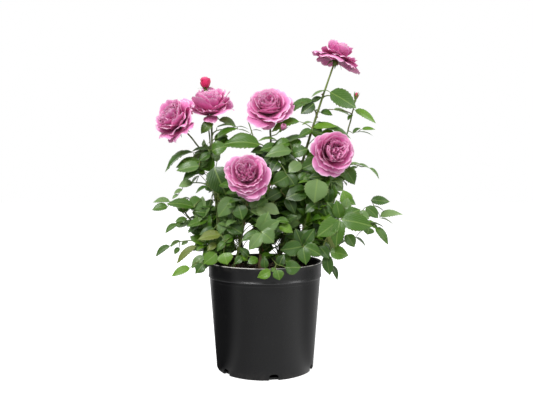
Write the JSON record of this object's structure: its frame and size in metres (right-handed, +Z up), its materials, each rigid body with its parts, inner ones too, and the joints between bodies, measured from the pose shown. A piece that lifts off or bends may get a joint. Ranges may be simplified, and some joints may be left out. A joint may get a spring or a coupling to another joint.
{
  "type": "potted rose bush",
  "caption": "Flowering rose shrub with open rosette blooms, buds and leafy thorned canes, growing in a tapered black nursery pot with drain notches.",
  "frame": {"origin": "middle of the pot's flat underside", "axes": "+Z up the canes, -Y towards the front of the plant, +X to its right as seen from the front"},
  "size_m": [0.5879, 0.4032, 0.7756],
  "materials": {
    "pot": "satin",
    "potting_mix": "matte",
    "old_wood": "matte",
    "green_cane": "satin",
    "foliage_deep": "matte",
    "foliage": "matte",
    "foliage_fresh": "matte",
    "petals": "matte",
    "bud_petals": "matte"
  },
  "bodies": {
    "root": {"pot": "pot", "potting_mix": "potting_mix", "main_stem": "old_wood", "left_cane": "green_cane", "front_rose_cane": "green_cane", "tall_cane": "green_cane", "right_rose_cane": "green_cane", "right_bud_cane": "green_cane", "back_left_cane": "green_cane", "back_right_cane": "green_cane", "centre_rose_stem": "green_cane", "front_shoot": "green_cane", "left_rose_stem": "green_cane", "left_bud_stem": "green_cane", "left_low_shoot": "green_cane", "right_outer_shoot": "green_cane", "left_rose": "petals", "upper_left_rose": "petals", "centre_rose": "petals", "top_rose": "petals", "right_rose": "petals", "front_rose": "petals", "left_bud": "bud_petals", "right_bud": "bud_petals", "foliage_centre_core": "foliage_deep", "foliage_right_core": "foliage_deep", "foliage_centre_top": "foliage", "foliage_left_mid_inner": "foliage_deep", "foliage_left_low_inner": "foliage", "foliage_right_low": "foliage", "foliage_right_big": "foliage_fresh", "foliage_front_low": "foliage_deep", "foliage_centre_right": "foliage", "foliage_front_spray": "foliage", "foliage_rim_front": "foliage", "foliage_rim_drape": "foliage", "foliage_left_rim": "foliage", "foliage_under_front_rose": "foliage", "foliage_left_fork": "foliage", "foliage_left_cane_side": "foliage", "foliage_left_under_roses": "foliage", "foliage_long_leaf": "foliage_fresh", "foliage_left_upper_outer": "foliage", "foliage_left_thin": "foliage_fresh", "foliage_left_mid_outer": "foliage", "foliage_left_low_outer": "foliage", "foliage_left_low_tip": "foliage_fresh", "foliage_under_right_rose": "foliage", "foliage_right_thin": "foliage", "foliage_right_outer": "foliage", "foliage_right_outer_low": "foliage", "foliage_tall_mid": "foliage", "foliage_tall_left": "foliage", "foliage_tall_right": "foliage_fresh", "foliage_under_right_bud": "foliage", "foliage_back_left_high": "foliage", "foliage_back_left_low": "foliage_deep", "foliage_back_centre": "foliage", "foliage_back_right_high": "foliage", "foliage_back_right_low": "foliage_deep"}
  },
  "joints": []
}
